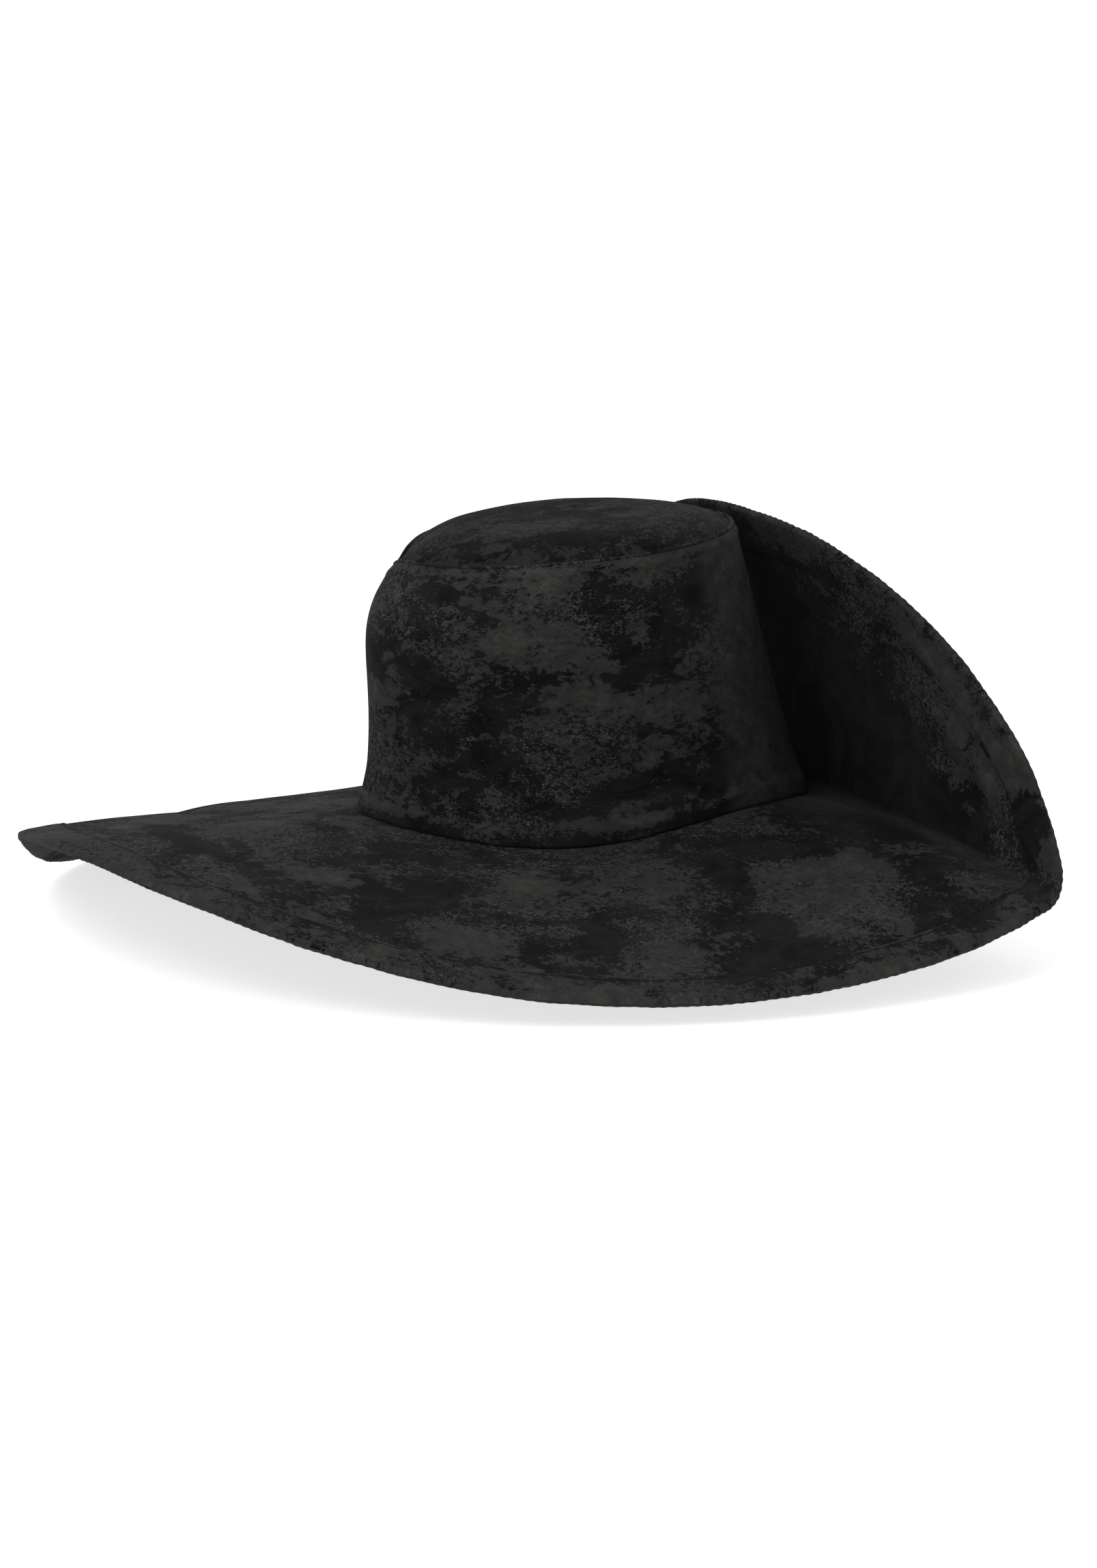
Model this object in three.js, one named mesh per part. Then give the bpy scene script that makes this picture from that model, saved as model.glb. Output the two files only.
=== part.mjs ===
// A wide-brimmed suede costume hat, cut and sewn in layers, with a wired brim whose back is turned up.
//
// Frame: millimetres, +Z up, -Y is the wearer's front, X is across the head. The origin is the centre
// of the head oval, at the height of the seam between crown and brim.
//
// Every layer is a sheet of constant thickness on one of three surfaces: the brim, the turned-up back
// flap or the crown. A layer's offset is measured along the surface's normal, and a gap of at least
// LAYER_GAP parts it from the next.

import * as THREE from 'three';
import { mergeVertices } from 'three/addons/utils/BufferGeometryUtils.js';

// ---- Driving dimensions ----

// Crown: a tapering oval with a slightly domed top
const HEAD_HALF_LENGTH = 105;
const HEAD_HALF_WIDTH = 87;
const TOP_HALF_LENGTH = 78;
const TOP_HALF_WIDTH = 81.5;
const CROWN_HEIGHT = 122;
const TOP_SHIFT_BACK = -9.4;
const TOP_RISE_BACK = 6.5;
const DOME_RISE = 13;
const DOME_POWER = 2.6;
const FRONT_BULGE = 3;
const BULGE_POWER = 1.3;
const SEAM_HEIGHT = -1.7;
const SEAM_RISE_BACK = 2.6;
const SEAM_WAVE = 3.9;

// Brim: rim radius and rim height, as waves round the oval
const RIM_RADIUS = 260.4;
const RIM_OVALITY = 8.7;
const RIM_FRONT_REACH = 5.2;
const RIM_HEIGHT = -9.8;
const RIM_SIDE_DROOP = 23.4;
const RIM_RISE_BACK = 14.7;
const RIM_WAVE = 5;
const RIM_CURVE_POWER = 1.19;

// Fold: a nearly straight crease behind the crown, and the flap that stands on it
const FOLD_BACK = 109;
const FOLD_HEIGHT = -16.7;
const FOLD_BOW = 16.5;
const FOLD_BOW_HALF_WIDTH = 240;
const FOLD_EASE = 31;
const FOLD_CLEARANCE = 5;
const FLAP_LEAN = THREE.MathUtils.degToRad(-0.5);
const FLAP_CURL = -0.0018;
const FLAP_FLARE = 3.3e-6;

// Layers
const LAYER_GAP = 0.3;
const BRIM_STIFFENER = 1.6;
const BRIM_SUEDE = 0.9;
const HEM_SUEDE = 0.8;
const HEM_GAP = 0.7;
const HEM_DEPTH = 22;
const PANEL_INSET = 5.2;
const WIRE_INSET = 2.8;
const WIRE_RADIUS = 1.1;
const SLEEVE_INNER_RADIUS = 1.6;
const SLEEVE_OUTER_RADIUS = 2.05;
const SLEEVE_LENGTH = 12;
const CROWN_SUEDE = 1;
const CROWN_STIFFENER = 1.2;
const SEAM_TAPE = 0.4;
const SEAM_TAPE_HALF_WIDTH = 7;
const SEAM_TAPE_END = 4;
const LINING = 0.6;
const SWEATBAND = 1;
const SWEATBAND_HEIGHT = 32;
const LABEL = 0.4;
const LABEL_HALF_WIDTH = 16;
const LABEL_HEIGHT = 20;
const WELT_RADIUS = 1.7;

// Steps of the meshes
const RIM_STEPS = 44;
const FOLD_STEPS = 18;
const FLAP_STEPS = 20;
const CROWN_STEPS = 40;
const BRIM_ROWS = [0, 0.25, 0.5, 0.75, 1];
const FLAP_ROWS = [0, 0.25, 0.5, 0.75, 1];
const BAND_ROWS = [0, 0.35, 0.7, 1];
const DOME_ROWS = [0, 0.3, 0.65];

// ---- Offsets worked out from the layers ----

const PANEL_LOW = BRIM_STIFFENER / 2 + LAYER_GAP;
const PANEL_HIGH = PANEL_LOW + BRIM_SUEDE;
const HEM_LOW = PANEL_HIGH + HEM_GAP;
const HEM_HIGH = HEM_LOW + HEM_SUEDE;
const STIFFENER_DEPTH = CROWN_SUEDE + LAYER_GAP;
const TAPE_DEPTH = STIFFENER_DEPTH + CROWN_STIFFENER + 2 * LAYER_GAP;
const LINING_DEPTH = TAPE_DEPTH + SEAM_TAPE + LAYER_GAP;
const SWEATBAND_DEPTH = LINING_DEPTH + LINING + LAYER_GAP;
const LABEL_DEPTH = LINING_DEPTH + LINING + LAYER_GAP;
const BRIM_INNER_DEPTH = 2;
const BAND_LIFT = PANEL_HIGH + 1.4;
const BAND_DROP = WELT_RADIUS + LAYER_GAP;
const WALL_HEIGHT = CROWN_HEIGHT - BAND_DROP - BAND_LIFT;

const TURN = 2 * Math.PI;
const BACK = Math.PI / 2;
const WELD = 1e-4;

// ---- Surfaces ----

const smooth = (t) => THREE.MathUtils.smoothstep(t, 0, 1);

function ovalRadius(halfWidth, halfLength, angle) {
  return 1 / Math.hypot(Math.cos(angle) / halfWidth, Math.sin(angle) / halfLength);
}

const headRadius = (angle) => ovalRadius(HEAD_HALF_WIDTH, HEAD_HALF_LENGTH, angle);
const topRadius = (angle) => ovalRadius(TOP_HALF_WIDTH, TOP_HALF_LENGTH, angle);
const rimRadius = (angle) =>
  RIM_RADIUS + RIM_OVALITY * Math.cos(2 * angle) - RIM_FRONT_REACH * Math.sin(angle);

function rimHeight(angle) {
  const waves = RIM_RISE_BACK * Math.sin(angle) + RIM_WAVE * Math.sin(3 * angle);
  return RIM_HEIGHT + waves - RIM_SIDE_DROOP * Math.cos(2 * angle);
}

const foldHeight = (x) =>
  FOLD_HEIGHT + FOLD_BOW * Math.max(0, 1 - (x / FOLD_BOW_HALF_WIDTH) ** 2);

const seamHeight = (angle) =>
  SEAM_HEIGHT + SEAM_RISE_BACK * Math.sin(angle) + SEAM_WAVE * Math.sin(3 * angle);

// Brim in front of the fold: from the crown seam out to the rim, easing into the fold's height
function brimHeight(x, y) {
  const angle = Math.atan2(y, x);
  const inner = headRadius(angle);
  const reach = (Math.hypot(x, y) - inner) / (rimRadius(angle) - inner);
  const share = THREE.MathUtils.clamp(reach, 0, 1) ** RIM_CURVE_POWER;
  const height = THREE.MathUtils.lerp(seamHeight(angle), rimHeight(angle), share);
  const ease = smooth((y - FOLD_BACK + FOLD_EASE) / FOLD_EASE);
  return THREE.MathUtils.lerp(height, foldHeight(x), ease);
}

const brimPoint = (x, y) => new THREE.Vector3(x, y, brimHeight(x, y));

// Flap behind the fold: y is the flat pattern's place, and what lies past the fold stands up
function flapPoint(x, y) {
  const up = y - FOLD_BACK;
  const lean = FLAP_LEAN + FLAP_CURL * up + FLAP_FLARE * x * x;
  return new THREE.Vector3(x, FOLD_BACK + up * Math.sin(lean), foldHeight(x) + up * Math.cos(lean));
}

// A point at an offset along the surface's normal, which points up on the brim
function offsetPoint(surface, x, y, offset) {
  const step = 0.5;
  const alongX = surface(x + step, y).sub(surface(x - step, y));
  const alongY = surface(x, y + step).sub(surface(x, y - step));
  const normal = alongX.cross(alongY).normalize();
  return surface(x, y).addScaledVector(normal, offset);
}

// Side of the crown: t is 0 just above the brim and 1 just below the top seam's welt, and depth is
// measured inwards
function crownSidePoint(angle, t, depth) {
  const low = headRadius(angle) - depth;
  const lowX = low * Math.cos(angle);
  const lowY = low * Math.sin(angle);
  const high = topRadius(angle) - depth;
  const swell = Math.sin(Math.PI * Math.max(0, t) ** BULGE_POWER);
  const bulge = FRONT_BULGE * Math.max(0, -Math.sin(angle)) * swell;
  const bottom = new THREE.Vector3(lowX, lowY, brimHeight(lowX, lowY) + BAND_LIFT);
  const top = new THREE.Vector3(
    high * Math.cos(angle),
    high * Math.sin(angle) + TOP_SHIFT_BACK,
    CROWN_HEIGHT + TOP_RISE_BACK * Math.sin(angle) - BAND_DROP,
  );
  const point = bottom.lerp(top, t);
  point.x += bulge * Math.cos(angle);
  point.y += bulge * Math.sin(angle);
  return point;
}

// Top of the crown: share is 1 at the seam and 0 at the centre
function crownTopPoint(angle, share, depth, offset) {
  const radius = (topRadius(angle) - depth) * share;
  const rise = DOME_RISE * (1 - share ** DOME_POWER);
  const tilt = TOP_RISE_BACK * Math.sin(angle) * share;
  return new THREE.Vector3(
    radius * Math.cos(angle),
    radius * Math.sin(angle) + TOP_SHIFT_BACK,
    CROWN_HEIGHT + tilt + rise + offset,
  );
}

// ---- Patches: flat lists of surface places and the triangles between them ----

// rows[i][j] are places. closed joins the last column to the first.
function gridPatch(rows, closed) {
  const places = rows.flat();
  const width = rows[0].length;
  const spans = closed ? width : width - 1;
  const triangles = [];
  for (let i = 0; i + 1 < rows.length; i += 1) {
    for (let j = 0; j < spans; j += 1) {
      const next = (j + 1) % width;
      const a = i * width + j;
      const b = i * width + next;
      const c = a + width;
      const d = b + width;
      triangles.push([a, b, d], [a, d, c]);
    }
  }
  return { places, triangles };
}

// Joins patches, and welds places that coincide
function weldPatches(patches) {
  const places = [];
  const triangles = [];
  const seen = new Map();
  for (const patch of patches) {
    const index = patch.places.map(([x, y]) => {
      const key = `${Math.round(x / WELD)},${Math.round(y / WELD)}`;
      if (!seen.has(key)) {
        seen.set(key, places.length);
        places.push([x, y]);
      }
      return seen.get(key);
    });
    for (const corners of patch.triangles) {
      const [a, b, c] = corners.map((corner) => index[corner]);
      if (a !== b && b !== c && c !== a) triangles.push([a, b, c]);
    }
  }
  return { places, triangles };
}

// ---- Solids ----

function geometryFrom(points, triangles) {
  const geometry = new THREE.BufferGeometry();
  const numbers = points.flatMap((point) => point.toArray());
  geometry.setAttribute('position', new THREE.Float32BufferAttribute(numbers, 3));
  geometry.setIndex(triangles.flat());
  const welded = mergeVertices(geometry, WELD);
  welded.computeVertexNormals();
  return welded;
}

// Closes a patch into a sheet between two offsets. place(x, y, offset) gives a point.
function sheetSolid(patch, place, low, high) {
  const count = patch.places.length;
  const top = patch.places.map(([x, y]) => place(x, y, high));
  const bottom = patch.places.map(([x, y]) => place(x, y, low));
  const edges = new Map();
  const triangles = [];
  for (const [a, b, c] of patch.triangles) {
    triangles.push([a, b, c], [c + count, b + count, a + count]);
    for (const [from, to] of [[a, b], [b, c], [c, a]]) {
      const back = `${to}:${from}`;
      if (edges.has(back)) edges.delete(back);
      else edges.set(`${from}:${to}`, [from, to]);
    }
  }
  for (const [from, to] of edges.values()) {
    triangles.push([to, from, from + count], [to, from + count, to + count]);
  }
  return geometryFrom([...top, ...bottom], triangles);
}

// Triangles across a section, wound as the section is
function capTriangles(section) {
  const { area, triangulateShape } = THREE.ShapeUtils;
  return triangulateShape(section, []).map(([a, b, c]) => {
    const corners = [section[a], section[b], section[c]];
    return area(corners) * area(section) > 0 ? [a, b, c] : [c, b, a];
  });
}

// Sweeps a closed section through stations, which run counterclockwise seen from above. The section
// is counterclockwise too, seen with the outside of the hat to its right. at(station, corner) gives a point.
function sweptSolid(stations, section, at, closed) {
  const width = section.length;
  const points = stations.flatMap((station) => section.map((corner) => at(station, corner)));
  const spans = closed ? stations.length : stations.length - 1;
  const triangles = [];
  for (let i = 0; i < spans; i += 1) {
    const next = (i + 1) % stations.length;
    for (let j = 0; j < width; j += 1) {
      const k = (j + 1) % width;
      const a = i * width + j;
      const b = i * width + k;
      const c = next * width + j;
      const d = next * width + k;
      triangles.push([a, d, b], [a, c, d]);
    }
  }
  if (!closed) {
    const last = (stations.length - 1) * width;
    for (const [a, b, c] of capTriangles(section)) {
      triangles.push([a, b, c], [c + last, b + last, a + last]);
    }
  }
  return geometryFrom(points, triangles);
}

const steps = (count) => Array.from({ length: count + 1 }, (_, i) => i / count);
const turnSteps = (count) => Array.from({ length: count }, (_, i) => (i / count) * TURN);

function circleSection(radius, sides) {
  return turnSteps(sides).map((angle) =>
    new THREE.Vector2(radius * Math.cos(angle), radius * Math.sin(angle)));
}

// ---- Rim arcs: the front arc ends just before the fold, and the back arc starts just past it ----

const FRONT_ARC = { fold: FOLD_BACK - FOLD_CLEARANCE, surface: brimPoint, front: true };
const BACK_ARC = { fold: FOLD_BACK + FOLD_CLEARANCE, surface: flapPoint, front: false };

// Angle at which the rim, inset by a distance, meets the arc's fold line on the +X side
function foldAngle(arc, inset) {
  const passes = 8;
  let angle = 0.4;
  for (let i = 0; i < passes; i += 1) {
    angle = Math.asin(arc.fold / (rimRadius(angle) - inset));
  }
  return angle;
}

// Place on the flat pattern: t runs from 0 to 1 along the arc, counterclockwise seen from above
function rimPlace(arc, t, inset) {
  const meet = foldAngle(arc, inset);
  const start = arc.front ? Math.PI - meet : meet;
  const end = arc.front ? TURN + meet : Math.PI - meet;
  const angle = THREE.MathUtils.lerp(start, end, t);
  const radius = rimRadius(angle) - inset;
  return [radius * Math.cos(angle), radius * Math.sin(angle)];
}

function rimPoint(arc, t, inset, offset) {
  const [x, y] = rimPlace(arc, t, inset);
  return offsetPoint(arc.surface, x, y, offset);
}

// ---- Brim and flap layers ----

function rimStrip(arc, count) {
  const edge = steps(count).map((t) => rimPlace(arc, t, PANEL_INSET));
  const inside = steps(count).map((t) => rimPlace(arc, t, HEM_DEPTH));
  return gridPatch([edge, inside], false);
}

// Flat pattern of the brim: a ring from the head opening to the rim, cut straight at the fold
function brimPatch() {
  const rim = steps(RIM_STEPS).map((t) => rimPlace(FRONT_ARC, t, HEM_DEPTH));
  const meet = foldAngle(FRONT_ARC, HEM_DEPTH);
  const fold = steps(FOLD_STEPS).slice(1, -1).map((t) => {
    const angle = THREE.MathUtils.lerp(meet, Math.PI - meet, t);
    return [FRONT_ARC.fold / Math.tan(angle), FRONT_ARC.fold];
  });
  const outline = [...rim, ...fold];
  const rows = BRIM_ROWS.map((share) => outline.map(([x, y]) => {
    const angle = Math.atan2(y, x);
    const inner = headRadius(angle) - BRIM_INNER_DEPTH;
    const radius = THREE.MathUtils.lerp(Math.hypot(x, y), inner, share);
    return [radius * Math.cos(angle), radius * Math.sin(angle)];
  }));
  return weldPatches([rimStrip(FRONT_ARC, RIM_STEPS), gridPatch(rows, true)]);
}

// Flat pattern of the flap: the D between the fold and the rim
function flapPatch() {
  const rim = steps(FLAP_STEPS).map((t) => rimPlace(BACK_ARC, t, HEM_DEPTH));
  const [foldEnd] = rim[0];
  const rows = FLAP_ROWS.map((share) => rim.map(([x, y], i) => {
    const foldX = foldEnd * Math.cos((i / FLAP_STEPS) * Math.PI);
    return [THREE.MathUtils.lerp(x, foldX, share), THREE.MathUtils.lerp(y, BACK_ARC.fold, share)];
  }));
  return weldPatches([rimStrip(BACK_ARC, FLAP_STEPS), gridPatch(rows, false)]);
}

function layerSolid(patch, surface, low, high) {
  return sheetSolid(patch, (x, y, offset) => offsetPoint(surface, x, y, offset), low, high);
}

// The hem: a U that wraps the rim and is open towards the crown
function hemSolid(arc, count) {
  const nose = 1.2;
  const section = [
    [HEM_DEPTH, HEM_LOW],
    [0, HEM_LOW],
    [0, -HEM_LOW],
    [HEM_DEPTH, -HEM_LOW],
    [HEM_DEPTH, -HEM_HIGH],
    [0, -HEM_HIGH],
    [-nose, 0],
    [0, HEM_HIGH],
    [HEM_DEPTH, HEM_HIGH],
  ].map(([inset, offset]) => new THREE.Vector2(inset, offset));
  return sweptSolid(steps(count), section, (t, corner) => rimPoint(arc, t, corner.x, corner.y), false);
}

function wireSolid(arc, stations) {
  const section = circleSection(WIRE_RADIUS, 6).reverse();
  const at = (t, corner) => rimPoint(arc, t, WIRE_INSET + corner.x, corner.y);
  return sweptSolid(stations, section, at, false);
}

// The two ends of the wire stop short of each other inside the sleeve
function flapWireSolid(side) {
  const middleGap = 0.002;
  const half = steps(FLAP_STEPS / 2).map((t) => t * (0.5 - middleGap));
  const stations = side === 'left' ? half.map((t) => 1 - t).reverse() : half;
  return wireSolid(BACK_ARC, stations);
}

function sleeveSolid() {
  const ring = new THREE.Shape().absarc(0, 0, SLEEVE_OUTER_RADIUS, 0, TURN, false);
  ring.holes.push(new THREE.Path().absarc(0, 0, SLEEVE_INNER_RADIUS, 0, TURN, true));
  const options = { depth: SLEEVE_LENGTH, bevelEnabled: false, curveSegments: 8 };
  const geometry = new THREE.ExtrudeGeometry(ring, options);
  geometry.translate(0, 0, -SLEEVE_LENGTH / 2);
  geometry.rotateY(BACK);
  return geometry;
}

// ---- Crown layers ----

// A layer of the side wall, over some angles and between some heights
function bandSolid(angles, closed, depth, thickness, rows) {
  const grid = rows.map((t) => angles.map((angle) => [angle, t]));
  const place = (angle, t, offset) => crownSidePoint(angle, t, depth + thickness - offset);
  return sheetSolid(gridPatch(grid, closed), place, 0, thickness);
}

function domeSolid(depth, low, high) {
  const rows = DOME_ROWS.map((cut) => turnSteps(CROWN_STEPS).map((angle) => [angle, 1 - cut]));
  const ring = gridPatch(rows, true);
  const centre = ring.places.length;
  const inner = centre - CROWN_STEPS;
  const places = [...ring.places, [0, 0]];
  const triangles = [...ring.triangles];
  for (let j = 0; j < CROWN_STEPS; j += 1) {
    triangles.push([inner + j, inner + ((j + 1) % CROWN_STEPS), centre]);
  }
  const place = (angle, share, offset) => crownTopPoint(angle, share, depth, offset);
  return sheetSolid({ places, triangles }, place, low, high);
}

function weltSolid() {
  const section = circleSection(WELT_RADIUS, 8);
  const centreDepth = 0.5;
  return sweptSolid(turnSteps(CROWN_STEPS), section, (angle, corner) => {
    const point = crownTopPoint(angle, 1, centreDepth, corner.y);
    point.x += corner.x * Math.cos(angle);
    point.y += corner.x * Math.sin(angle);
    return point;
  }, true);
}

// An upright strip at the back of the crown, between two heights
function backStripSolid(halfWidth, depth, thickness, low, high) {
  const half = halfWidth / HEAD_HALF_LENGTH;
  const angles = [-1, 0, 1].map((share) => BACK + share * half);
  return bandSolid(angles, false, depth, thickness, [low / WALL_HEIGHT, high / WALL_HEIGHT]);
}

// The sweatband hangs a little below the seam and stands inside the crown
function sweatbandSolid() {
  const hang = BAND_LIFT + PANEL_HIGH;
  const rows = [-hang / WALL_HEIGHT, (SWEATBAND_HEIGHT - hang) / WALL_HEIGHT];
  return bandSolid(turnSteps(CROWN_STEPS), true, SWEATBAND_DEPTH, SWEATBAND, rows);
}

// ---- Materials ----

const SUEDE = { color: 0x1b1a1a, roughness: 0.95, metalness: 0 };
const STIFFENER = { color: 0x4a4742, roughness: 0.9, metalness: 0 };
const SATIN = { color: 0x111112, roughness: 0.6, metalness: 0 };
const TAPE = { color: 0x161617, roughness: 0.85, metalness: 0 };
const STEEL = { color: 0x9a9a98, roughness: 0.4, metalness: 1 };
const PAPER = { color: 0xd8d6cf, roughness: 0.8, metalness: 0 };

const group = new THREE.Group();

function addPart(parent, name, geometry, finish) {
  const mesh = new THREE.Mesh(geometry, new THREE.MeshStandardMaterial(finish));
  mesh.name = name;
  parent.add(mesh);
  return mesh;
}

// ---- Crown ----

const crown = new THREE.Group();
group.add(crown);

const ring = turnSteps(CROWN_STEPS);
const tipDepth = 2.8;
const tipLow = -CROWN_SUEDE;
const tipStiffenerHigh = tipLow - LAYER_GAP;
const tipStiffenerLow = tipStiffenerHigh - CROWN_STIFFENER;
const tipLiningHigh = tipStiffenerLow - LAYER_GAP;
const tipLiningLow = tipLiningHigh - LINING;
const tipCurveRoom = 1;
const liningDrop = tipCurveRoom - tipLiningLow - BAND_DROP;
const liningRows = BAND_ROWS.map((t) => t * (1 - liningDrop / WALL_HEIGHT));
const labelLow = SWEATBAND_HEIGHT + 6;

addPart(crown, 'crown_tip_panel', domeSolid(tipDepth, tipLow, 0), SUEDE);
addPart(crown, 'crown_tip_interlining', domeSolid(tipDepth, tipStiffenerLow, tipStiffenerHigh), STIFFENER);
addPart(crown, 'crown_tip_lining', domeSolid(tipDepth, tipLiningLow, tipLiningHigh), SATIN);
addPart(crown, 'crown_seam_welt', weltSolid(), SUEDE);
addPart(
  crown,
  'crown_side_band',
  bandSolid(ring, true, 0, CROWN_SUEDE, BAND_ROWS),
  SUEDE,
);
addPart(
  crown,
  'crown_side_interlining',
  bandSolid(ring, true, STIFFENER_DEPTH, CROWN_STIFFENER, BAND_ROWS),
  STIFFENER,
);
addPart(
  crown,
  'crown_side_lining',
  bandSolid(ring, true, LINING_DEPTH, LINING, liningRows),
  SATIN,
);
addPart(
  crown,
  'crown_back_seam_tape',
  backStripSolid(SEAM_TAPE_HALF_WIDTH, TAPE_DEPTH, SEAM_TAPE, SEAM_TAPE_END, WALL_HEIGHT - SEAM_TAPE_END),
  TAPE,
);
addPart(crown, 'sweatband', sweatbandSolid(), TAPE);
addPart(
  crown,
  'size_label',
  backStripSolid(LABEL_HALF_WIDTH, LABEL_DEPTH, LABEL, labelLow, labelLow + LABEL_HEIGHT),
  PAPER,
);

// ---- Brim and flap ----

const brim = new THREE.Group();
const flap = new THREE.Group();
group.add(brim, flap);

const brimPlan = brimPatch();
const flapPlan = flapPatch();
const sides = [
  { prefix: 'brim', parent: brim, plan: brimPlan, arc: FRONT_ARC, count: RIM_STEPS },
  { prefix: 'flap', parent: flap, plan: flapPlan, arc: BACK_ARC, count: FLAP_STEPS },
];
for (const { prefix, parent, plan, arc, count } of sides) {
  const layer = (low, high) => layerSolid(plan, arc.surface, low, high);
  addPart(parent, `${prefix}_top_panel`, layer(PANEL_LOW, PANEL_HIGH), SUEDE);
  addPart(parent, `${prefix}_interlining`, layer(-BRIM_STIFFENER / 2, BRIM_STIFFENER / 2), STIFFENER);
  addPart(parent, `${prefix}_under_panel`, layer(-PANEL_HIGH, -PANEL_LOW), SUEDE);
  addPart(parent, `${prefix}_edge_hem`, hemSolid(arc, count), SUEDE);
}
addPart(brim, 'brim_edge_wire', wireSolid(FRONT_ARC, steps(RIM_STEPS)), STEEL);
addPart(flap, 'flap_edge_wire_left', flapWireSolid('left'), STEEL);
addPart(flap, 'flap_edge_wire_right', flapWireSolid('right'), STEEL);
const sleeve = addPart(flap, 'wire_joiner_sleeve', sleeveSolid(), STEEL);
sleeve.position.copy(rimPoint(BACK_ARC, 0.5, WIRE_INSET, 0));

export default group;
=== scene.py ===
"""Wide-brimmed suede costume hat: the visual model, in metres, in the CAD frame."""
import math

import bpy
import numpy as np
from mathutils import Matrix, Vector


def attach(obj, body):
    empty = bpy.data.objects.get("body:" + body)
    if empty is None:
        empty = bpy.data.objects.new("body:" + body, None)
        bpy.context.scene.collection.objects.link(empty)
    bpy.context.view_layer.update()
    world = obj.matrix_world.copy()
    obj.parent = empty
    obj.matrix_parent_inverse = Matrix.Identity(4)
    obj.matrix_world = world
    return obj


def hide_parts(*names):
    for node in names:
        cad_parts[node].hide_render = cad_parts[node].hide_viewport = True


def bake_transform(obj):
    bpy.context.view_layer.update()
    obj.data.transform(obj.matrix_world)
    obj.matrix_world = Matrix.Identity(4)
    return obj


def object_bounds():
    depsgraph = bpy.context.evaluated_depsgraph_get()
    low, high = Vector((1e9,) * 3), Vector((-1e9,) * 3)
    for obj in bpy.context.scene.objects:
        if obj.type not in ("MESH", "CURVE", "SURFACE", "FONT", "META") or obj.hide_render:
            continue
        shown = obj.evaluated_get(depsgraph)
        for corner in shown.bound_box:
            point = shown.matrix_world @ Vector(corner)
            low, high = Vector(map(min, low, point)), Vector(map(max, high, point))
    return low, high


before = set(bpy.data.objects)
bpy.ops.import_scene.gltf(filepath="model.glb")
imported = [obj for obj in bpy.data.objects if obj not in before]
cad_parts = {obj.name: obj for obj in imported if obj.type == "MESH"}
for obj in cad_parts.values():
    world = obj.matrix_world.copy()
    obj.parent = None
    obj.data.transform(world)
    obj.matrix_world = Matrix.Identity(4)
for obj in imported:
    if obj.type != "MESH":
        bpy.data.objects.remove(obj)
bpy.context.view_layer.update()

MM = 0.001
TURN = 2 * math.pi

# Crown: base oval, top oval and dome
HEAD_HALF_LENGTH = 105 * MM
HEAD_HALF_WIDTH = 87 * MM
TOP_HALF_LENGTH = 78 * MM
TOP_HALF_WIDTH = 81.5 * MM
CROWN_HEIGHT = 122 * MM
TOP_SHIFT_BACK = -9.4 * MM
TOP_RISE_BACK = 6.5 * MM
DOME_RISE = 10.5 * MM
DOME_POWER = 5.4
DOME_TILT = 2.3 * MM
FRONT_BULGE = 9 * MM
BULGE_POWER = 2.5
BASE_FLARE = 2.2 * MM
SEAM_HEIGHT = -1.7 * MM
SEAM_RISE_BACK = 2.6 * MM
SEAM_WAVE = 3.9 * MM

# Brim
RIM_RADIUS = 260.4 * MM
RIM_OVALITY = 8.7 * MM
RIM_FRONT_REACH = 5.2 * MM
RIM_HEIGHT = -9.8 * MM
RIM_SIDE_DROOP = 23.4 * MM
RIM_RISE_BACK = 14.7 * MM
RIM_WAVE = 5 * MM
RIM_CURVE_POWER = 1.19

# Fold and flap
FOLD_BACK = 109 * MM
FOLD_HEIGHT = -16.7 * MM
FOLD_BOW = 16.5 * MM
FOLD_BOW_HALF_WIDTH = 240 * MM
FOLD_EASE = 31 * MM
CREASE = 3.6 * MM
CORNER_CREASE = 10 * MM
CORNER_START = 195 * MM
CORNER_EASE = 45 * MM
FLAP_LEAN = math.radians(-0.5)
FLAP_CURL = -1.8
FLAP_FLARE = 3.3

# Hand-worn softness that differs from left to right: the rim sags in places, and the crown's
# top edge is pushed in at the front left. Sags: bearing and width in degrees, drop in mm, and
# the power of the reach that it grows with.
RIM_SAGS = [(226, 21, 17, 6), (262, 14, 2.5, 3), (184.5, 7.5, 9, 3), (170, 6, 6, 3),
            (203, 9, -4, 3)]
SLUMP_ANGLE = math.radians(236)
SLUMP_WIDTH = math.radians(18.8)
SLUMP_DROP = 7.9 * MM
SLUMP_PINCH = 0.022

# Layers, measured from the middle of the brim, and inwards from the outside of the crown
STIFFENER_HALF = 0.7 * MM
PANEL_LOW = 0.9 * MM
PANEL_HIGH = 1.6 * MM
HEM_LOW = 1.65 * MM
HEM_HIGH = 2.25 * MM
HEM_EDGE = 1.8 * MM
HEM_DEPTH = 22 * MM
PANEL_INSET = 5.2 * MM
WIRE_INSET = 1.85 * MM
WIRE_RADIUS = 1.0 * MM
SUEDE = 1.0 * MM
CROWN_STIFFENER_DEPTH = 1.3 * MM
CROWN_STIFFENER = 1.2 * MM
TAPE_DEPTH = 3.1 * MM
TAPE = 0.4 * MM
LINING_DEPTH = 3.8 * MM
LINING = 0.6 * MM
SWEATBAND_DEPTH = 4.7 * MM
SWEATBAND = 1.0 * MM
LABEL_DEPTH = 5.6 * MM
LABEL = 0.4 * MM
BRIM_INNER_DEPTH = 2 * MM

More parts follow.
